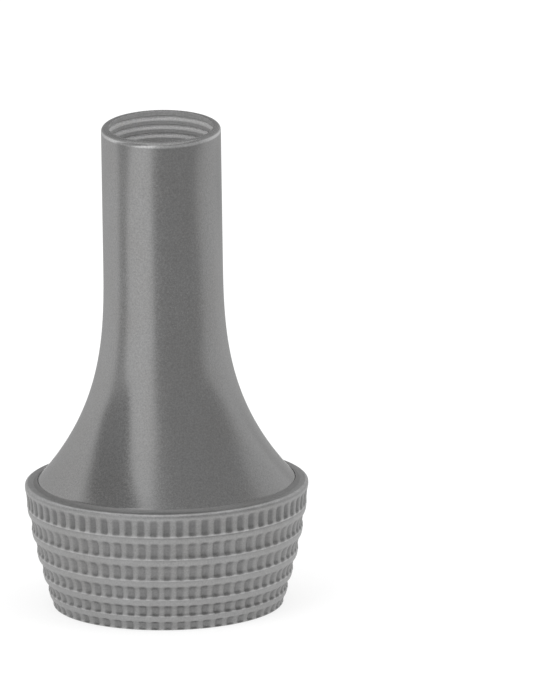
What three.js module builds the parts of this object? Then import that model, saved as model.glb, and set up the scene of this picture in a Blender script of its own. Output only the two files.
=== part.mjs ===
// An ear speculum: a thin metal funnel with an oval tip, and the hollow milled collar that its
// flared foot is soldered into, which the fingers hold. It stands on the collar's open end.
// Millimetres, +Z up. The origin is the middle of the face that it stands on. X runs across
// the short way of the oval tip and Y along its long way.

import * as THREE from "three";

// The funnel
const OVERALL_HEIGHT = 32.75;
const TIP_WIDTH = 8;
const TIP_DEPTH = 9.9;
const SHEET = 0.5;
const RIM_ROUND = 0.3;
const TUBE_LENGTH = 8.95;
const FOOT_DIAMETER = 17.5;
const FLARE_POWER = 2.98;
const SKIRT_DEPTH = 1.2;

// The rings turned inside the mouth
const MOUTH_GROOVES = 3;
const FIRST_GROOVE_DROP = 0.42;
const GROOVE_PITCH = 0.585;
const GROOVE_TOP_FLANK = 0.07;
const GROOVE_LOW_FLANK = 0.24;
const MOUTH_GROOVE_DEPTH = 0.2;

// The collar
const COLLAR_HEIGHT = 8.4;
const LIP_WIDTH = 0.75;
const BASE_DIAMETER = 15.4;
const BELLY_POWER = 1.55;
const END_WALL = 1.15;
const BASE_ROUND = 0.4;
const EDGE_BREAK = 0.25;

// Its milled rows, each a sunk band of teeth with a smooth land above it
const ROWS = 6;
const ROW_DWINDLE_SHARE = 0.4;
const LAND_HEIGHT = 0.32;
const LAND_LIMIT_SHARE = 0.3;
const LAND_STEP = 0.03;
const LIP_STEP = 0.18;
const LAND_POWER = 4;
const BAND_SUNK = 0.12;
const END_BAND_SUNK = 0.05;
const TOOTH_PITCH = 0.86;
const TOOTH_DEPTH = 0.13;
const PIT_RISE_SHARE = 0.26;
const CROWN_SHARE = 0.24;
const FLANK_SHARE = 0.5;
const TEETH_MULTIPLE = 4;

// The soldered joint
const SOLDER_GAP = 0.04;
const SOLDER_LEG = 0.17;
const SOLDER_HOLLOW_SHARE = 0.55;

// How finely round shapes are divided
const ROUND_STEPS = 64;
const FLARE_STEPS = 12;
const RIM_STEPS = 3;
const LAND_STEPS = 2;

const FOOT_RADIUS = FOOT_DIAMETER / 2;
const NECK_HEIGHT = OVERALL_HEIGHT - TUBE_LENGTH;
const SEAT_HEIGHT = COLLAR_HEIGHT - SKIRT_DEPTH;
const { lerp } = THREE.MathUtils;

// A ring of points round the axis at one height. across and deep are its reach along X and Y.
// turns lists where the points stand, as shares of a full turn.
function ringAt(height, across, deep = across, turns = evenTurns(ROUND_STEPS)) {
  return turns.map((turn) => {
    const angle = 2 * Math.PI * turn;
    const point = new THREE.Vector3(across * Math.cos(angle), deep * Math.sin(angle), height);
    return { turn, point };
  });
}

function evenTurns(count) {
  return Array.from({ length: count }, (_, i) => i / count);
}

// Joins each ring to the next, and the last to the first, into one closed surface. The rings go
// up the outside and down the inside. Two neighbours may hold different numbers of points:
// the one that lags in angle is always the next to step.
function skin(rings) {
  const starts = [];
  const positions = [];
  for (const ring of rings) {
    starts.push(positions.length / 3);
    for (const { point } of ring) positions.push(...point.toArray());
  }
  const faces = [];
  rings.forEach((ring, i) => {
    const j = (i + 1) % rings.length;
    const next = rings[j];
    const turnOf = (r, n) => r[n % r.length].turn + Math.floor(n / r.length);
    const indexOf = (start, r, n) => start + (n % r.length);
    let a = 0;
    let b = 0;
    while (a < ring.length || b < next.length) {
      const here = indexOf(starts[i], ring, a);
      const there = indexOf(starts[j], next, b);
      const stepHere =
        b === next.length || (a < ring.length && turnOf(ring, a + 1) <= turnOf(next, b + 1));
      if (stepHere) {
        a += 1;
        faces.push(here, indexOf(starts[i], ring, a), there);
      } else {
        b += 1;
        faces.push(here, indexOf(starts[j], next, b), there);
      }
    }
  });
  const geometry = new THREE.BufferGeometry();
  geometry.setAttribute("position", new THREE.Float32BufferAttribute(positions, 3));
  geometry.setIndex(faces);
  geometry.computeVertexNormals();
  return geometry;
}

// The funnel's outside at a height: its reach along X and Y, and how fast each grows downwards.
// The tube is straight down to the neck, and from there the flare follows a power of the drop.
function outsideAt(height) {
  const flareHeight = NECK_HEIGHT - COLLAR_HEIGHT;
  const drop = Math.max(0, (NECK_HEIGHT - height) / flareHeight);
  const share = drop ** FLARE_POWER;
  const growth = (FLARE_POWER * drop ** (FLARE_POWER - 1)) / flareHeight;
  return {
    across: lerp(TIP_WIDTH / 2, FOOT_RADIUS, share),
    deep: lerp(TIP_DEPTH / 2, FOOT_RADIUS, share),
    acrossGrowth: (FOOT_RADIUS - TIP_WIDTH / 2) * growth,
    deepGrowth: (FOOT_RADIUS - TIP_DEPTH / 2) * growth,
  };
}

// The funnel's inside at a height, one sheet thickness in from the outside, square to it.
// cut is how much deeper a groove there goes.
function insideRing(height, cut = 0) {
  const { across, deep, acrossGrowth, deepGrowth } = outsideAt(height);
  const thickAcross = SHEET * Math.hypot(1, acrossGrowth);
  const thickDeep = SHEET * Math.hypot(1, deepGrowth);
  return ringAt(height, across - thickAcross + cut, deep - thickDeep + cut);
}

function outsideRing(height) {
  const { across, deep } = outsideAt(height);
  return ringAt(height, across, deep);
}

function flareHeights() {
  return Array.from({ length: FLARE_STEPS + 1 }, (_, i) =>
    lerp(COLLAR_HEIGHT, NECK_HEIGHT, i / FLARE_STEPS),
  );
}

// The edge of the mouth: rounded on its outside, then flat to its sharp inside corner.
function rimRings() {
  const round = Array.from({ length: RIM_STEPS + 1 }, (_, i) => {
    const angle = ((Math.PI / 2) * i) / RIM_STEPS;
    const inward = RIM_ROUND * (1 - Math.cos(angle));
    const height = OVERALL_HEIGHT - RIM_ROUND * (1 - Math.sin(angle));
    return ringAt(height, TIP_WIDTH / 2 - inward, TIP_DEPTH / 2 - inward);
  });
  return [...round, insideRing(OVERALL_HEIGHT)];
}

// Rings cut into the inside of the mouth, from the top one down: a short flank above the
// deepest line and a long one below it.
function mouthGrooveRings() {
  return Array.from({ length: MOUTH_GROOVES }, (_, i) => {
    const deepest = OVERALL_HEIGHT - FIRST_GROOVE_DROP - i * GROOVE_PITCH;
    return [
      insideRing(deepest + GROOVE_TOP_FLANK),
      insideRing(deepest, MOUTH_GROOVE_DEPTH),
      insideRing(deepest - GROOVE_LOW_FLANK),
    ];
  }).flat();
}

// The funnel: a skirt that sits in the collar, the flare, the oval tube and back down the inside.
function funnelGeometry() {
  const skirtInside = FOOT_RADIUS - SHEET;
  const footAngle = Math.atan(outsideAt(COLLAR_HEIGHT).acrossGrowth);
  const bendInside = COLLAR_HEIGHT - SHEET * Math.tan(footAngle / 2);
  const heights = flareHeights();
  return skin([
    ringAt(SEAT_HEIGHT, FOOT_RADIUS),
    ...heights.map(outsideRing),
    ...rimRings(),
    ...mouthGrooveRings(),
    ...heights.slice(1).reverse().map((height) => insideRing(height)),
    ringAt(bendInside, skirtInside),
    ringAt(SEAT_HEIGHT, skirtInside),
  ]);
}

// How far the collar's lands reach at a height: a full-bellied taper towards the open end.
function collarReach(height) {
  const below = Math.max(0, 1 - height / COLLAR_HEIGHT);
  const share = 1 - below ** BELLY_POWER;
  return lerp(BASE_DIAMETER / 2, FOOT_RADIUS + LIP_WIDTH, share);
}

// The heights where the rows begin and end, from the base up. Rows are lower towards the base.
function rowHeights() {
  const weights = Array.from({ length: ROWS }, (_, row) => {
    const fromTop = (ROWS - 1 - row) / (ROWS - 1);
    return 1 - ROW_DWINDLE_SHARE * fromTop ** 2;
  });
  const total = weights.reduce((sum, weight) => sum + weight);
  const heights = [0];
  for (const weight of weights) heights.push(heights.at(-1) + (COLLAR_HEIGHT * weight) / total);
  return heights;
}

// A ring of teeth evenly round the collar: flat crowns with a flat-bottomed pit between each two.
function toothedRing(height, reach, teeth) {
  const valley = reach - TOOTH_DEPTH;
  const halfValley = (1 - CROWN_SHARE - FLANK_SHARE) / 2;
  const crownStart = (1 - CROWN_SHARE) / 2;
  return Array.from({ length: teeth }, (_, tooth) => [
    ...ringAt(height, valley, valley, [(tooth + halfValley) / teeth]),
    ...ringAt(height, reach, reach, [(tooth + crownStart) / teeth, (tooth + 1 - crownStart) / teeth]),
    ...ringAt(height, valley, valley, [(tooth + 1 - halfValley) / teeth]),
  ]).flat();
}

// How many teeth of about the wanted pitch fit round the collar, alike on all four sides.
function teethRound(reach) {
  const wanted = (2 * Math.PI * reach) / TOOTH_PITCH;
  return TEETH_MULTIPLE * Math.round(wanted / TEETH_MULTIPLE);
}

// Where the smooth land begins in the row between two heights.
function landStartOf(bottom, top) {
  return top - Math.min(LAND_HEIGHT, LAND_LIMIT_SHARE * (top - bottom));
}

// One milled row from its bottom up: the toothed band, a shallow trough as deep as sunk, and
// the smooth land, which curves back in at its top by one step.
function rowRings(bottom, top, sunk, step) {
  const landStart = landStartOf(bottom, top);
  const pitStart = lerp(bottom, landStart, PIT_RISE_SHARE);
  const pitEnd = lerp(landStart, bottom, PIT_RISE_SHARE);
  const teeth = teethRound(collarReach((bottom + landStart) / 2));
  const land = Array.from({ length: LAND_STEPS + 1 }, (_, i) => {
    const share = i / LAND_STEPS;
    const height = lerp(landStart, top, share);
    return ringAt(height, collarReach(height) - step * share ** LAND_POWER);
  });
  return [
    toothedRing(pitStart, collarReach(pitStart) - sunk, teeth),
    toothedRing(pitEnd, collarReach(pitEnd) - sunk, teeth),
    ...land,
  ];
}

// The collar: up its milled outside, over the lip, and down through the funnel's socket, the
// ledge that the funnel sits on and the tapered bore.
function collarGeometry() {
  const heights = rowHeights();
  const rows = heights.slice(1).map((top, row) => {
    const atLip = row === ROWS - 1;
    const sunk = atLip || row === 0 ? END_BAND_SUNK : BAND_SUNK;
    return rowRings(heights[row], top, sunk, atLip ? LIP_STEP : LAND_STEP);
  });
  const socket = FOOT_RADIUS + SOLDER_GAP;
  const boreTop = FOOT_RADIUS - SHEET;
  const boreBottom = BASE_DIAMETER / 2 - END_WALL;
  return skin([
    ringAt(0, BASE_DIAMETER / 2 - BASE_ROUND),
    ...rows.flat(),
    ringAt(COLLAR_HEIGHT, socket),
    ringAt(SEAT_HEIGHT, socket),
    ringAt(SEAT_HEIGHT, boreTop),
    ringAt(EDGE_BREAK, boreBottom),
    ringAt(0, boreBottom + EDGE_BREAK),
  ]);
}

// The fillet of solder in the corner between the lip's flat top and the flare.
function solderGeometry() {
  const top = COLLAR_HEIGHT + SOLDER_LEG;
  const flare = outsideAt(top);
  const hollow = SOLDER_LEG * (1 - SOLDER_HOLLOW_SHARE);
  const hollowHeight = COLLAR_HEIGHT + hollow;
  const beside = outsideAt(hollowHeight);
  return skin([
    ringAt(COLLAR_HEIGHT, FOOT_RADIUS + SOLDER_GAP),
    ringAt(COLLAR_HEIGHT, FOOT_RADIUS + SOLDER_LEG),
    ringAt(hollowHeight, beside.across + hollow, beside.deep + hollow),
    ringAt(top, flare.across + SOLDER_GAP, flare.deep + SOLDER_GAP),
  ]);
}

const polishedMetal = new THREE.MeshStandardMaterial({
  color: 0x8f9092,
  roughness: 0.32,
  metalness: 1,
});
const milledMetal = new THREE.MeshStandardMaterial({
  color: 0x929395,
  roughness: 0.42,
  metalness: 1,
});
const solder = new THREE.MeshStandardMaterial({
  color: 0x77787a,
  roughness: 0.55,
  metalness: 1,
});

function piece(name, geometry, material) {
  const mesh = new THREE.Mesh(geometry, material);
  mesh.name = name;
  return mesh;
}

const speculum = new THREE.Group();
speculum.add(
  piece("funnel", funnelGeometry(), polishedMetal),
  piece("knurled_collar", collarGeometry(), milledMetal),
  piece("solder_seam", solderGeometry(), solder),
);

export default speculum;
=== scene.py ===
"""The looks of a metal ear speculum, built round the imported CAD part.

The part's sizes are millimetres, as in its own source, and the studio's are metres. +Z runs up
the tube, X across the oval tip's short way and Y along its long way. The camera stands towards -Y.
"""

import math
import random

import bpy
from mathutils import Matrix, Vector


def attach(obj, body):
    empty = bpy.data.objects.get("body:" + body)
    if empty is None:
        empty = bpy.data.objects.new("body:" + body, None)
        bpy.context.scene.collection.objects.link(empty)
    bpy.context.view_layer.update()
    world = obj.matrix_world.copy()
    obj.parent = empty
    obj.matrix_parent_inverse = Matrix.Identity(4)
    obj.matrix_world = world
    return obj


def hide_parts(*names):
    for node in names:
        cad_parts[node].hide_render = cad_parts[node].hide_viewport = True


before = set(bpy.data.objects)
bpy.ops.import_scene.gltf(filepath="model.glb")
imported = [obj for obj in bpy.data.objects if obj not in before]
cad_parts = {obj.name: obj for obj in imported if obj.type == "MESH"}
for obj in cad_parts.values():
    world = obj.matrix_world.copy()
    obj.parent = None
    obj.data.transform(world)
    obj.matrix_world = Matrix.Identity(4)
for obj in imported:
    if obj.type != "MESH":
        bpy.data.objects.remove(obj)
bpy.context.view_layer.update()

MM = 0.001
TURN = 2 * math.pi
SCENE = bpy.context.scene
DRAWS = random.Random(41)

# The part's own sizes
OVERALL_HEIGHT = 32.75
TIP_REACH = (4.0, 4.95)
SHEET = 0.5
RIM_ROUND = 0.3
EASED_EDGE = 0.05
NECK_HEIGHT = 23.8
FOOT_RADIUS = 8.75
FLARE_POWER = 2.98
COLLAR_HEIGHT = 8.4
SEAT_HEIGHT = 7.2
LIP_RADIUS = 9.496
BASE_RADIUS = 7.7
BELLY_POWER = 1.55
END_WALL = 1.15
BASE_ROUND = 0.4
EDGE_BREAK = 0.25
SOLDER_GAP = 0.04

# The rings turned inside the mouth
MOUTH_GROOVES = 3
FIRST_GROOVE_DROP = 0.42
GROOVE_PITCH = 0.585
GROOVE_TOP_FLANK = 0.07
GROOVE_LOW_FLANK = 0.24
MOUTH_GROOVE_DEPTH = 0.2

# The milled rows, each a sunk band of teeth with a smooth land above it
ROWS = 6
ROW_DWINDLE_SHARE = 0.4
LAND_HEIGHT = 0.32
LAND_LIMIT_SHARE = 0.3
BAND_SUNK = 0.12
END_BAND_SUNK = 0.05
LAND_STEP = 0.03
LIP_STEP = 0.18
LAND_POWER = 4
TOOTH_PITCH = 0.86
TOOTH_DEPTH = 0.13
PIT_RISE_SHARE = 0.26
TROUGH_RISE_SHARE = 0.36
CROWN_SHARE = 0.24
FLANK_SHARE = 0.5
TEETH_MULTIPLE = 4
# No two teeth are cut alike: each has its own share of the depth, and a dent in its crown
CUT_SHARES = (0.8, 1.0)
DENT_SHARES = (0.0, 0.12)

# How finely the skins are divided. The shares say where in a band or a land each ring lies.
ROUND_STEPS = 288
FLARE_STEPS = 60
TUBE_STEPS = 12
RIM_STEPS = 8
CORNER_STEPS = 4
BORE_STEPS = 10
POINTS_PER_TOOTH = 12
BAND_RING_SHARES = (0.05, 0.1, 0.15, 0.21, 0.28, 0.5, 0.66, 0.74, 0.8, 0.85, 0.9, 0.95, 1.0)
LAND_RING_SHARES = (0.2, 0.4, 0.58, 0.72, 0.84, 0.93, 1.0)
SHARP_DEGREES = 50
# The tube's last ring lies this many rim roundings below the top
RIM_CLEARANCE_SHARE = 1.3

# Wear and painted light, from -1 for painted shade, through 0 where the metal is plain, to 1 for
# painted highlights and metal rubbed bright
# A painted highlight at full strength, on the rim and in the mouth's grooves
PAINTED_HIGHLIGHT = 1.0
# Painted shade on the rim's top and inner edge; the rim's painted highlight holds over the first
# share of the rounding and fades over the second
RIM_TOP_SHADE = -0.5
RIM_HIGHLIGHT_SHARE = 0.2
RIM_FADE_SHARE = 0.3
# Painted shade on the crests between the mouth's grooves
MOUTH_CREST_SHADE = -0.4
# Painted shade in the teeth's pits, darkest in the lip's row
PIT_SHADE = -0.6
LIP_PIT_SHADE = -1.0
# The lands are lighter, partly from rubbing and partly a painted highlight
LAND_WEAR_AND_HIGHLIGHT = 0.16
CROWN_WEAR = 0.016
# A painted highlight on the ledge at each band's foot, over this share of the band
LEDGE_HIGHLIGHT = 0.45
LEDGE_SHARE = 0.36
LAND_EDGE_SHARE = 0.35
LAND_EDGE_FADE_SHARE = 0.4
# Painted highlights on the lip's rounding, across its flat and at the socket's edge
LIP_EDGE_HIGHLIGHT = 0.7
LIP_FLAT_HIGHLIGHT = 0.35
SOCKET_EDGE_HIGHLIGHT = 0.2
BASE_EDGE_WEAR = 0.1


def lerp(a, b, share):
    return a + (b - a) * share


def smooth(share):
    share = min(max(share, 0.0), 1.0)
    return share * share * (3 - 2 * share)


# Meshes from rings


def ring(height, across, deep=None, steps=ROUND_STEPS, wear_and_light=0.0):
    """Points round the axis at one height, each with its share of a turn and its level of painted
    light and rubbing.
    """
    deep = across if deep is None else deep
    points = []
    for i in range(steps):
        angle = TURN * i / steps
        point = (across * math.cos(angle), deep * math.sin(angle), height)
        points.append((i / steps, point, wear_and_light))
    return points


def eased(corners, radius):
    """A broken line of two numbers a corner, with each inner corner rounded off."""
    points = [corners[0]]
    for before, corner, after in zip(corners, corners[1:], corners[2:]):
        ends = []
        for other in (before, after):
            length = math.dist(corner, other)
            share = min(radius / length, 0.5)
            ends.append([lerp(c, o, share) for c, o in zip(corner, other)])
        trio = (ends[0], corner, ends[1])
        for i in range(CORNER_STEPS + 1):
            t = i / CORNER_STEPS
            weights = ((1 - t) ** 2, 2 * t * (1 - t), t * t)
            points.append(tuple(sum(w * p[axis] for w, p in zip(weights, trio)) for axis in (0, 1)))
    points.append(corners[-1])
    return points


def faces_between(here, there, start_here, start_there):
    """The faces between two rings, whose points are numbered from the two starts. Where the rings
    differ in their number of points, the one that lags in angle is the next to step."""
    n, m = len(here), len(there)
    if n == m:
        pairs = [(i, (i + 1) % n) for i in range(n)]
        return [(start_here + i, start_here + t, start_there + t, start_there + i) for i, t in pairs]
    faces = []
    a = b = 0
    while a < n or b < m:
        turn_a = here[(a + 1) % n][0] + (a + 1) // n
        turn_b = there[(b + 1) % m][0] + (b + 1) // m
        corner_a, corner_b = start_here + a % n, start_there + b % m
        if b == m or (a < n and turn_a <= turn_b):
            a += 1
            faces.append((corner_a, start_here + a % n, corner_b))
        else:
            b += 1
            faces.append((corner_a, start_there + b % m, corner_b))
    return faces


def skin(rings):
    """The closed skin through all the rings in turn, and from the last back to the first."""
    starts, verts, wear_and_light_values = [], [], []
    for points in rings:
        starts.append(len(verts))
        verts += [point for _, point, _ in points]
        wear_and_light_values += [wear_and_light for _, _, wear_and_light in points]
    faces = []
    for k, here in enumerate(rings):
        j = (k + 1) % len(rings)
        faces += faces_between(here, rings[j], starts[k], starts[j])
    return verts, faces, wear_and_light_values


def piece(name, rings, material, stands_for):
    verts, faces, wear_and_light_values = skin(rings)
    mesh = bpy.data.meshes.new(name)
    mesh.from_pydata([[c * MM for c in v] for v in verts], [], faces)
    mesh.validate()
    mesh.update()
    mesh.shade_smooth()
    mesh.set_sharp_from_angle(angle=math.radians(SHARP_DEGREES))
    attribute = mesh.attributes.new("wear_and_light", "FLOAT", "POINT")
    attribute.data.foreach_set("value", wear_and_light_values)
    mesh.materials.append(material)
    obj = bpy.data.objects.new(name, mesh)
    SCENE.collection.objects.link(obj)
    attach(obj, "root")
    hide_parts(stands_for)
    return obj


# The funnel


def outside(height):
    """The funnel's reach along X and Y at a height, and how fast each grows downwards."""
    flare = NECK_HEIGHT - COLLAR_HEIGHT
    drop = max(0.0, (NECK_HEIGHT - height) / flare)
    share = drop**FLARE_POWER
    growth = FLARE_POWER * drop ** (FLARE_POWER - 1) / flare
    reach = [lerp(tip, FOOT_RADIUS, share) for tip in TIP_REACH]
    growths = [(FOOT_RADIUS - tip) * growth for tip in TIP_REACH]
    return reach, growths


def outside_ring(height):
    (across, deep), _ = outside(height)
    return ring(height, across, deep)


def inside_ring(height, cut=0.0, wear_and_light=0.0):
    (across, deep), growths = outside(height)
    thick = [SHEET * math.hypot(1, growth) for growth in growths]
    return ring(height, across - thick[0] + cut, deep - thick[1] + cut, wear_and_light=wear_and_light)


def tip_ring(height, inward, wear_and_light):
    across, deep = (tip - inward for tip in TIP_REACH)
    return ring(height, across, deep, wear_and_light=wear_and_light)


def flare_heights():
    return [lerp(COLLAR_HEIGHT, NECK_HEIGHT, i / FLARE_STEPS) for i in range(FLARE_STEPS + 1)]


def tube_heights():
    """From above the neck to just under the rim, so that the rim's painted highlight ends there."""
    top = OVERALL_HEIGHT - RIM_CLEARANCE_SHARE * RIM_ROUND
    return [lerp(NECK_HEIGHT, top, i / TUBE_STEPS) for i in range(1, TUBE_STEPS + 1)]


def rim_rings():
    """The rounded rim, with a painted highlight low down that fades to painted shade towards its top,
    and its inner edge, in painted shade.
    """
    rings = []
    for i in range(RIM_STEPS + 1):
        share = i / RIM_STEPS
        angle = math.pi / 2 * i / RIM_STEPS
        inward = RIM_ROUND * (1 - math.cos(angle))
        height = OVERALL_HEIGHT - RIM_ROUND * (1 - math.sin(angle))
        wear_and_light = lerp(PAINTED_HIGHLIGHT, RIM_TOP_SHADE, smooth((share - RIM_HIGHLIGHT_SHARE) / RIM_FADE_SHARE))
        rings.append(tip_ring(height, inward, wear_and_light))
    inner_edge = [
        (RIM_ROUND, OVERALL_HEIGHT),
        (SHEET, OVERALL_HEIGHT),
        (SHEET, OVERALL_HEIGHT - 2 * EASED_EDGE),
    ]
    for inward, height in eased(inner_edge, EASED_EDGE)[1:]:
        rings.append(tip_ring(height, inward, RIM_TOP_SHADE))
    return rings


def mouth_rings():
    """The grooves inside the mouth, with painted highlights in them and painted shade on the crests
    between.
    """
    rings = []
    for i in range(MOUTH_GROOVES):
        deepest = OVERALL_HEIGHT - FIRST_GROOVE_DROP - i * GROOVE_PITCH
        groove = [
            (0.0, deepest + GROOVE_TOP_FLANK + EASED_EDGE),
            (0.0, deepest + GROOVE_TOP_FLANK),
            (MOUTH_GROOVE_DEPTH, deepest),
            (0.0, deepest - GROOVE_LOW_FLANK),
            (0.0, deepest - GROOVE_LOW_FLANK - EASED_EDGE),
        ]
        for cut, height in eased(groove, EASED_EDGE):
            # Painted shade on the crests, a painted highlight in the grooves
            wear_and_light = MOUTH_CREST_SHADE if cut < EASED_EDGE else PAINTED_HIGHLIGHT
            rings.append(inside_ring(height, cut, wear_and_light))
    return rings


def funnel_rings():
    """Up the outside from the skirt's foot, over the rim, and down the inside."""
    flare = flare_heights()
    rings = [ring(SEAT_HEIGHT, FOOT_RADIUS)]
    rings += [outside_ring(height) for height in flare + tube_heights()]
    rings += rim_rings()
    rings += mouth_rings()
    rings += [inside_ring(height) for height in reversed(flare[1:])]
    slope = math.atan(outside(COLLAR_HEIGHT)[1][0])
    bend = COLLAR_HEIGHT - SHEET * math.tan(slope / 2)
    rings.append(ring(bend, FOOT_RADIUS - SHEET))
    rings.append(ring(SEAT_HEIGHT, FOOT_RADIUS - SHEET))
    return rings


def line_with(obj, material):
    """Gives the faces that look inwards, from just under the rim down, a metal of their own: a
    lighter, less metallic copy that paints light into the inside's own shade.
    """
    obj.data.materials.append(material)
    highest = (OVERALL_HEIGHT - EASED_EDGE / 2) * MM
    for face in obj.data.polygons:
        middle = face.center
        outwards = face.normal.x * middle.x + face.normal.y * middle.y
        if outwards < 0 and middle.z < highest:
            face.material_index = 1


# The collar


def collar_reach(height):
    below = max(0.0, 1 - height / COLLAR_HEIGHT)
    return lerp(BASE_RADIUS, LIP_RADIUS, 1 - below**BELLY_POWER)


def row_heights():
    weights = [1 - ROW_DWINDLE_SHARE * ((ROWS - 1 - row) / (ROWS - 1)) ** 2 for row in range(ROWS)]
    heights = [0.0]
    for weight in weights:
        heights.append(heights[-1] + COLLAR_HEIGHT * weight / sum(weights))
    return heights


def tooth_profile(place):
    """How deep the cut is at a place between one valley and the next, from 0 to 1."""
    from_middle = abs(place - 0.5) * 2
    return smooth((from_middle - CROWN_SHARE) / FLANK_SHARE)


def toothed_ring(height, cuts, crown, depth, top_wear_and_light, pit_painted_light):
    """cuts holds each tooth's own share of the depth and its dent. crown is how far a tooth
    without a dent reaches."""
    teeth = len(cuts)
    points = []
    for tooth, (share, dent) in enumerate(cuts):
        for k in range(POINTS_PER_TOOTH):
            place = k / POINTS_PER_TOOTH
            turn = (tooth + place) / teeth
            near = cuts[tooth - 1][0] if place < 0.5 else share
            cut = tooth_profile(place)
            reach = crown - depth * (near * cut + dent * (1 - cut))
            angle = TURN * turn
            # Painted shade deepens into each pit with the cut
            wear_and_light = lerp(top_wear_and_light, pit_painted_light, smooth(cut) * depth / TOOTH_DEPTH)
            points.append((turn, (reach * math.cos(angle), reach * math.sin(angle), height), wear_and_light))
    return points


def band_ring(share, height, cuts, sunk, pit_painted_light):
    """One ring of a toothed band, a shallow trough as deep as sunk. The ledge at its foot, which
    ends in the land below, gets a painted highlight that lightens its shade."""
    from_end = min(share, 1 - share)
    trough = smooth(from_end / TROUGH_RISE_SHARE)
    pit = smooth(from_end / PIT_RISE_SHARE)
    ledge = LEDGE_HIGHLIGHT * smooth(1 - share / LEDGE_SHARE)
    top_wear_and_light = ledge + lerp(LAND_WEAR_AND_HIGHLIGHT, CROWN_WEAR, min(1.0, 2 * pit))
    reach = collar_reach(height) - sunk * trough
    return toothed_ring(height, cuts, reach, TOOTH_DEPTH * pit, top_wear_and_light, pit_painted_light + ledge)


def row_rings(bottom, top, sunk, step, pit_painted_light, edge_wear_and_light):
    """One row from its bottom up: the toothed band, then the smooth land, which curves back in at
    its top by one step."""
    land_height = min(LAND_HEIGHT, LAND_LIMIT_SHARE * (top - bottom))
    land_start = top - land_height
    wanted = TURN * collar_reach((bottom + land_start) / 2) / TOOTH_PITCH
    teeth = TEETH_MULTIPLE * round(wanted / TEETH_MULTIPLE)
    cuts = [(DRAWS.uniform(*CUT_SHARES), DRAWS.uniform(*DENT_SHARES)) for _ in range(teeth)]
    rings = []
    for share in BAND_RING_SHARES:
        rings.append(band_ring(share, lerp(bottom, land_start, share), cuts, sunk, pit_painted_light))
    for share in LAND_RING_SHARES:
        height = lerp(land_start, top, share)
        reach = collar_reach(height) - step * share**LAND_POWER
        # Towards its top each land fades to the edge level, which on the lip is a painted highlight
        fade = smooth((share - LAND_EDGE_SHARE) / LAND_EDGE_FADE_SHARE)
        wear_and_light = lerp(LAND_WEAR_AND_HIGHLIGHT, edge_wear_and_light, fade)
        rings.append(ring(height, reach, steps=teeth * POINTS_PER_TOOTH, wear_and_light=wear_and_light))
    return rings


def milled_rings():
    """All the rows from the base up. The top one ends in the lip's rounding."""
    heights = row_heights()
    rings = []
    for row, (bottom, top) in enumerate(zip(heights, heights[1:])):
        sunk = END_BAND_SUNK if row in (0, ROWS - 1) else BAND_SUNK
        if row == ROWS - 1:
            rings += row_rings(bottom, top, sunk, LIP_STEP, LIP_PIT_SHADE, LIP_EDGE_HIGHLIGHT)
        else:
            rings += row_rings(bottom, top, sunk, LAND_STEP, PIT_SHADE, LAND_WEAR_AND_HIGHLIGHT)
    return rings


def bore_rings():
    """Down the cone-shaped bore, from the funnel's seat to the eased edge at the eye end."""
    top, bottom = FOOT_RADIUS - SHEET, BASE_RADIUS - END_WALL
    rings = [ring(SEAT_HEIGHT, top)]
    for i in range(1, BORE_STEPS + 1):
        share = i / BORE_STEPS
        rings.append(ring(lerp(SEAT_HEIGHT, EDGE_BREAK, share), lerp(top, bottom, share)))
    rings.append(ring(0.0, bottom + EDGE_BREAK))
    return rings


def collar_rings():
    """Up the milled side from the base, across the lip, and down the socket and the bore."""
    milled = milled_rings()
    _, (x, y, _), _ = milled[-1][0]
    lip = math.hypot(x, y)
    socket = FOOT_RADIUS + SOLDER_GAP
    rings = [ring(0.0, BASE_RADIUS - BASE_ROUND, wear_and_light=BASE_EDGE_WEAR)]
    rings += milled
    # Painted highlights across the lip's flat, fading towards the socket
    rings.append(ring(COLLAR_HEIGHT, lip - EASED_EDGE, wear_and_light=LIP_FLAT_HIGHLIGHT))
    rings.append(ring(COLLAR_HEIGHT, socket, wear_and_light=SOCKET_EDGE_HIGHLIGHT))
    rings.append(ring(SEAT_HEIGHT, socket))
    rings += bore_rings()
    return rings


# Materials


def grey(value, warmth=0.0):
    return (value * (1 + warmth), value, value * (1 - warmth), 1.0)


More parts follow.
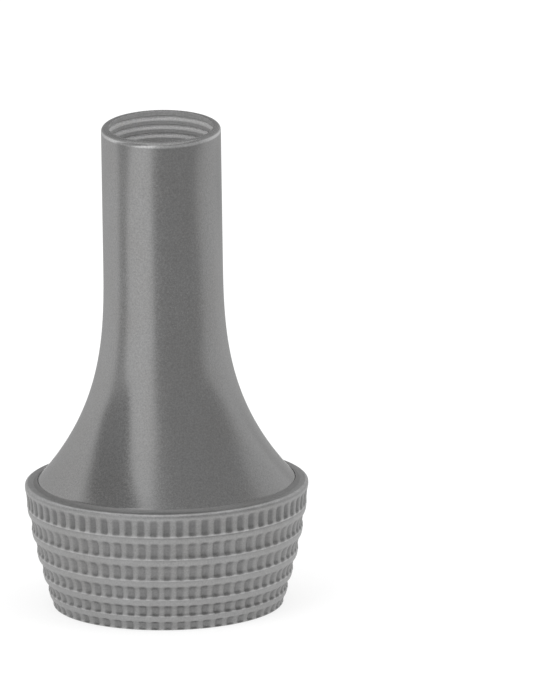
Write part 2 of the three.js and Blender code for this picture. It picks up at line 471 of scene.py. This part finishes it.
class Net:
    """A material's node tree, with each node made and wired in one call."""

    def __init__(self, name):
        self.material = bpy.data.materials.new(name)
        self.material.use_nodes = True
        self.tree = self.material.node_tree
        self.tree.nodes.clear()

    def add(self, kind, values=None, **settings):
        """A new node. Each value is a number for one of its inputs, or an output to link there."""
        node = self.tree.nodes.new(kind)
        for key, value in settings.items():
            setattr(node, key, value)
        for key, value in (values or {}).items():
            if isinstance(value, bpy.types.NodeSocket):
                self.tree.links.new(value, node.inputs[key])
            else:
                node.inputs[key].default_value = value
        return node

    def object_place(self):
        return self.add("ShaderNodeTexCoord").outputs["Object"]

    def maths(self, operation, *values, clamp=False):
        node = self.add("ShaderNodeMath", dict(enumerate(values)), operation=operation)
        node.use_clamp = clamp
        return node.outputs[0]

    def spread(self, value, low, high, to_low, to_high):
        """The value moved from one range to another, and kept within it."""
        names = ["Value", "From Min", "From Max", "To Min", "To Max"]
        values = dict(zip(names, [value, low, high, to_low, to_high]))
        return self.add("ShaderNodeMapRange", values).outputs["Result"]

    def noise(self, place, scale, detail):
        values = {"Vector": place, "Scale": scale, "Detail": detail}
        return self.add("ShaderNodeTexNoise", values).outputs["Fac"]

    def mix(self, factor, a, b):
        """Colour a where the factor is 0, and colour b where it is 1."""
        return self.add("ShaderNodeMix", {0: factor, 6: a, 7: b}, data_type="RGBA").outputs[2]

    def table(self, value, points):
        """A smooth curve through (place, level) points, read at the value."""
        low, high = points[0][0], points[-1][0]
        peak = max(level for _, level in points)
        node = self.add("ShaderNodeFloatCurve", {"Value": self.spread(value, low, high, 0.0, 1.0)})
        curve = node.mapping.curves[0]
        for place, level in points[1:-1]:
            curve.points.new((place - low) / (high - low), level / peak)
        curve.points[0].location = (0.0, points[0][1] / peak)
        curve.points[-1].location = (1.0, points[-1][1] / peak)
        node.mapping.update()
        return self.maths("MULTIPLY", node.outputs[0], peak)

    def finish(self, shader):
        self.add("ShaderNodeOutputMaterial", {"Surface": shader.outputs[0]})
        return self.material


# Noise scales, in cells to the metre. The polishing lines change fast along the axis only.
LINE_SCALES = (900.0, 900.0, 9000.0)
GRAIN_SCALE = 9000.0
PATCH_SCALE = 1500.0
CLOUD_SCALE = 260.0
NOISE_LOW, NOISE_HIGH = 0.3, 0.7
# How much each noise changes the metal
UNEVEN_WEAR_AND_LIGHT = (0.8, 1.2)
STAIN_START = 0.35
STAIN_SHARE = 0.96
STAIN_WARMTH = 0.01
SPECKLE = (0.88, 1.12)
SPECK_ROUGHNESS = (-0.04, 0.04)
STREAK_ROUGHNESS = (-0.03, 0.03)
BLOT_ROUGHNESS = (-0.012, 0.016)
PAINTED_SHADE_ROUGHNESS = 0.15
LINE_RELIEF = 0.25
BUMP_STRENGTH = 0.25
BUMP_HEIGHT = 0.000006


def metal_colour(net, wear_and_light, painted_shade_grey, plain, wear_and_highlight_grey, grain, cloud):
    """The greys for painted shade, plain metal, and painted highlights with wear, mixed by the level
    of painted light and rubbing, faintly stained and speckled.
    """
    stain = net.spread(cloud, STAIN_START, NOISE_HIGH, 0.0, 1.0)
    colour = net.mix(stain, grey(plain), grey(plain * STAIN_SHARE, STAIN_WARMTH))
    colour = net.mix(net.spread(wear_and_light, -1.0, 0.0, 1.0, 0.0), colour, grey(painted_shade_grey))
    colour = net.mix(net.spread(wear_and_light, 0.0, 1.0, 0.0, 1.0), colour, grey(wear_and_highlight_grey))
    speckle = net.spread(grain, NOISE_LOW, NOISE_HIGH, *SPECKLE)
    return net.add("ShaderNodeHueSaturation", {"Color": colour, "Value": speckle}).outputs[0]


def metal_roughness(net, wear_and_light, rough, grain, lines, cloud):
    speck = net.spread(grain, NOISE_LOW, NOISE_HIGH, *SPECK_ROUGHNESS)
    streak = net.spread(lines, NOISE_LOW, NOISE_HIGH, *STREAK_ROUGHNESS)
    blot = net.spread(cloud, NOISE_LOW, NOISE_HIGH, *BLOT_ROUGHNESS)
    # Rougher where shade is painted
    shade_roughness = net.maths("MULTIPLY", net.spread(wear_and_light, -1.0, 0.0, 1.0, 0.0), PAINTED_SHADE_ROUGHNESS)
    roughness = net.maths("ADD", rough, net.maths("ADD", speck, net.maths("ADD", streak, blot)))
    return net.maths("ADD", roughness, shade_roughness, clamp=True)


def metal_relief(net, lines, grain, grain_relief):
    ridges = net.maths("MULTIPLY", lines, LINE_RELIEF)
    height = net.maths("ADD", ridges, net.maths("MULTIPLY", grain, grain_relief))
    values = {"Strength": BUMP_STRENGTH, "Distance": BUMP_HEIGHT, "Height": height}
    return net.add("ShaderNodeBump", values).outputs[0]


def metal(name, greys, rough, grain_relief, turned=0.6, bare=1.0):
    """greys are those for painted shade, plain metal, and painted highlights with wear. turned says
    how far the polish runs round.
    """
    net = Net(name)
    place = net.object_place()
    stretched = net.add("ShaderNodeMapping", {"Vector": place, "Scale": LINE_SCALES}).outputs[0]
    lines = net.noise(stretched, scale=1.0, detail=3.0)
    grain = net.noise(place, GRAIN_SCALE, detail=2.0)
    cloud = net.noise(place, CLOUD_SCALE, detail=4.0)
    patch = net.noise(place, PATCH_SCALE, detail=3.0)
    # The level of painted light and rubbing, made uneven at random
    wear_and_light = net.add("ShaderNodeAttribute", attribute_name="wear_and_light").outputs["Fac"]
    wear_and_light = net.maths("MULTIPLY", wear_and_light, net.spread(patch, NOISE_LOW, NOISE_HIGH, *UNEVEN_WEAR_AND_LIGHT))
    shader = net.add(
        "ShaderNodeBsdfPrincipled",
        {
            "Base Color": metal_colour(net, wear_and_light, *greys, grain, cloud),
            "Metallic": bare,
            "Roughness": metal_roughness(net, wear_and_light, rough, grain, lines, cloud),
            "Anisotropic": turned,
            "Tangent": net.add("ShaderNodeTangent", direction_type="RADIAL", axis="Z").outputs[0],
            "Normal": metal_relief(net, lines, grain, grain_relief),
        },
    )
    return net.finish(shader)


# The pieces


def add_funnel():
    outer = metal("funnel_metal", (0.2, 0.36, 0.66), rough=0.18, grain_relief=0.6)
    # Lighter and less metallic than the outside: the inside is painted lighter than its own shade
    # would leave it
    bore = metal("bore_metal_painted_lighter", (0.42, 0.55, 0.9), rough=0.5, grain_relief=0.6, turned=0.0, bare=0.6)
    funnel = piece("funnel_skin", funnel_rings(), outer, "funnel")
    line_with(funnel, bore)


def add_collar():
    milled = metal("collar_metal", (0.24, 0.295, 0.6), rough=0.5, grain_relief=0.9, turned=0.2)
    piece("collar_skin", collar_rings(), milled, "knurled_collar")


def dress_solder():
    """The CAD ring of solder is fine enough as it is, and only gets its metal."""
    dull = metal("solder_metal", (0.19, 0.26, 0.3), rough=0.45, grain_relief=1.0, turned=0.0)
    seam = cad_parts["solder_seam"]
    seam.data.materials.clear()
    seam.data.materials.append(dull)


# The studio, in metres
FLOOR_REACH = 2.5
FLOOR_GREY = 0.35
FLOOR_GLOW = 0.68
TENT_RADIUS = 0.057
TENT_FOOT = 0.0005
TENT_TOP = 0.098
TENT_STEPS = 96

# What the metal sees in the tent. Azimuth 0 is towards the camera, and negative is to its left.
# Each table holds (place, level) points, by azimuth in degrees or by height in millimetres.
PANEL_LEVELS = [
    (-180, 0.45), (-168, 0.45), (-148, 0.52), (-118, 0.74), (-60, 0.88), (-26, 0.88),
    (-18, 0.8), (-8, 0.52), (2, 0.44), (45, 0.41), (70, 0.42), (86, 0.58),
    (100, 0.66), (120, 0.68), (146, 0.54), (168, 0.45), (180, 0.45),
]
# Low down, which is what the straight tube reflects, all the panels sit a little to the left
LEFT_SHIFT = 8.0
LEFT_SHIFT_HEIGHTS = (14.0, 36.0)
# The right hand panel starts later by so many degrees, most where the bell reflects it
RIGHT_START_DELAYS = [
    (0, 13), (10, 13), (15.5, 3), (17.5, 3), (20, 21), (27, 26), (33, 20), (45, 16), (98, 16),
]
RIGHT_PANEL_AZIMUTHS = (30.0, 90.0)
# The dark gap in the left hand panel leans towards the camera as it rises, and widens. Its
# centre is counted from straight left.
STRAIGHT_LEFT = 90.0
GAP_CENTRES = [(0, 7), (10, 7), (20, 10.5), (33, 15), (45, 20.5), (98, 48)]
GAP_HALF_WIDTHS = [
    (0, 9.5), (10, 9.5), (14.5, 10), (17, 11), (19.5, 15), (22, 20), (25, 22), (45, 23), (98, 23),
]
GAP_DEPTHS = [
    (0, 0.38), (10, 0.4), (14, 0.38), (17, 0.35), (19.5, 0.42), (22, 0.51), (25, 0.54), (98, 0.59),
]
GAP_SOFT_EDGE = 4.0


def stage_mesh(name, verts, faces, material):
    mesh = bpy.data.meshes.new(name)
    mesh.from_pydata(verts, [], faces)
    mesh.update()
    mesh.materials.append(material)
    obj = bpy.data.objects.new(name, mesh)
    SCENE.collection.objects.link(obj)
    return obj


def add_floor():
    """A white ground that glows a little, so that the shadow on it stays faint."""
    net = Net("floor_white")
    diffuse = net.add("ShaderNodeBsdfDiffuse", {"Color": grey(FLOOR_GREY)})
    glow = net.add("ShaderNodeEmission", {"Color": grey(1.0), "Strength": FLOOR_GLOW})
    both = net.add("ShaderNodeAddShader", {0: diffuse.outputs[0], 1: glow.outputs[0]})
    corners = [(x * FLOOR_REACH, y * FLOOR_REACH, 0) for x, y in ((-1, -1), (1, -1), (1, 1), (-1, 1))]
    stage_mesh("floor", corners, [(0, 1, 2, 3)], net.finish(both))


def tent_degrees(net, x, y, millimetres):
    """The azimuth at which the tables are read, after the panels' shifts at this height."""
    turn = net.maths("ARCTAN2", x, net.maths("MULTIPLY", y, -1.0))
    shift = net.spread(millimetres, *LEFT_SHIFT_HEIGHTS, LEFT_SHIFT, 0.0)
    degrees = net.maths("ADD", net.maths("MULTIPLY", turn, 180 / math.pi), shift)
    delay = net.table(millimetres, RIGHT_START_DELAYS)
    rightwards = net.spread(degrees, *RIGHT_PANEL_AZIMUTHS, 0.0, 1.0)
    return net.maths("SUBTRACT", degrees, net.maths("MULTIPLY", delay, rightwards))


def tent_gap(net, degrees, millimetres):
    """How much of the light the dark gap takes away."""
    centre = net.maths("SUBTRACT", net.table(millimetres, GAP_CENTRES), STRAIGHT_LEFT)
    off = net.maths("ABSOLUTE", net.maths("SUBTRACT", degrees, centre))
    past_edge = net.maths("SUBTRACT", off, net.table(millimetres, GAP_HALF_WIDTHS))
    inside = net.spread(past_edge, -GAP_SOFT_EDGE, GAP_SOFT_EDGE, 1.0, 0.0)
    return net.maths("MULTIPLY", inside, net.table(millimetres, GAP_DEPTHS))


def tent_light():
    net = Net("tent_panels")
    x, y, z = net.add("ShaderNodeSeparateXYZ", {0: net.object_place()}).outputs
    millimetres = net.maths("MULTIPLY", z, 1000.0)
    degrees = tent_degrees(net, x, y, millimetres)
    gap = tent_gap(net, degrees, millimetres)
    left_over = net.maths("SUBTRACT", 1.0, gap)
    level = net.maths("MULTIPLY", net.table(degrees, PANEL_LEVELS), left_over)
    return net.finish(net.add("ShaderNodeEmission", {"Strength": level}))


def add_tent():
    """The studio's walls, which only reflections see: soft white panels with dark gaps between."""
    verts = []
    for height in (TENT_FOOT, TENT_TOP):
        for i in range(TENT_STEPS):
            angle = TURN * i / TENT_STEPS
            verts.append((TENT_RADIUS * math.cos(angle), TENT_RADIUS * math.sin(angle), height))
    pairs = [(i, (i + 1) % TENT_STEPS) for i in range(TENT_STEPS)]
    faces = [(i, t, TENT_STEPS + t, TENT_STEPS + i) for i, t in pairs]
    walls = stage_mesh("tent", verts, faces, tent_light())
    walls.visible_camera = False
    walls.visible_diffuse = False
    walls.visible_transmission = False
    walls.visible_volume_scatter = False
    walls.visible_shadow = False


def add_softbox(name, place, size, watts):
    """A round lamp turned to the origin, which reflections don't see."""
    light = bpy.data.lights.new(name, "AREA")
    light.shape = "DISK"
    light.size = size
    light.energy = watts
    obj = bpy.data.objects.new(name, light)
    obj.location = place
    obj.rotation_euler = (-Vector(place)).to_track_quat("-Z", "Y").to_euler()
    obj.visible_glossy = False
    SCENE.collection.objects.link(obj)


def add_world():
    SCENE.world = bpy.data.worlds.new("studio_air")
    SCENE.world.use_nodes = True
    back = SCENE.world.node_tree.nodes["Background"]
    back.inputs["Color"].default_value = grey(1.0)
    back.inputs["Strength"].default_value = 1.0


# The photograph: its size, where in it the part's origin lies, and how it was taken
PHOTO_PIXELS = (550, 688)
PIXELS_PER_MM = 14.925
ORIGIN_PIXEL = (168.5, 601.5)
ELEVATION = math.radians(14)
LEAN = math.radians(-0.85)
CAMERA_DISTANCE = 1.5
CLIP_START, CLIP_END = 0.05, 20.0


def add_camera():
    """The photograph's view: 14 degrees above the table, from far off through a long lens."""
    data = bpy.data.cameras.new("camera")
    data.lens = data.sensor_width * CAMERA_DISTANCE / (PHOTO_PIXELS[1] / PIXELS_PER_MM * MM)
    data.clip_start = CLIP_START
    data.clip_end = CLIP_END
    back = Vector((0, -math.cos(ELEVATION), math.sin(ELEVATION)))
    flat_right = Vector((1, 0, 0))
    flat_up = back.cross(flat_right)
    right = flat_right * math.cos(LEAN) + flat_up * math.sin(LEAN)
    up = back.cross(right)
    along = (PHOTO_PIXELS[0] / 2 - ORIGIN_PIXEL[0]) / PIXELS_PER_MM * MM
    rise = (ORIGIN_PIXEL[1] - PHOTO_PIXELS[1] / 2) / PIXELS_PER_MM * MM
    spot = right * along + up * rise + back * CAMERA_DISTANCE
    obj = bpy.data.objects.new("camera", data)
    obj.matrix_world = Matrix.Translation(spot) @ Matrix((right, up, back)).transposed().to_4x4()
    SCENE.collection.objects.link(obj)
    SCENE.camera = obj


add_funnel()
add_collar()
dress_solder()
add_floor()
add_tent()
add_world()
add_softbox("key_light", place=(-0.5, -0.6, 0.9), size=0.7, watts=3.0)
add_softbox("fill_light", place=(0.7, -0.3, 0.8), size=0.8, watts=2.0)
add_camera()
SCENE.view_settings.view_transform = "Standard"
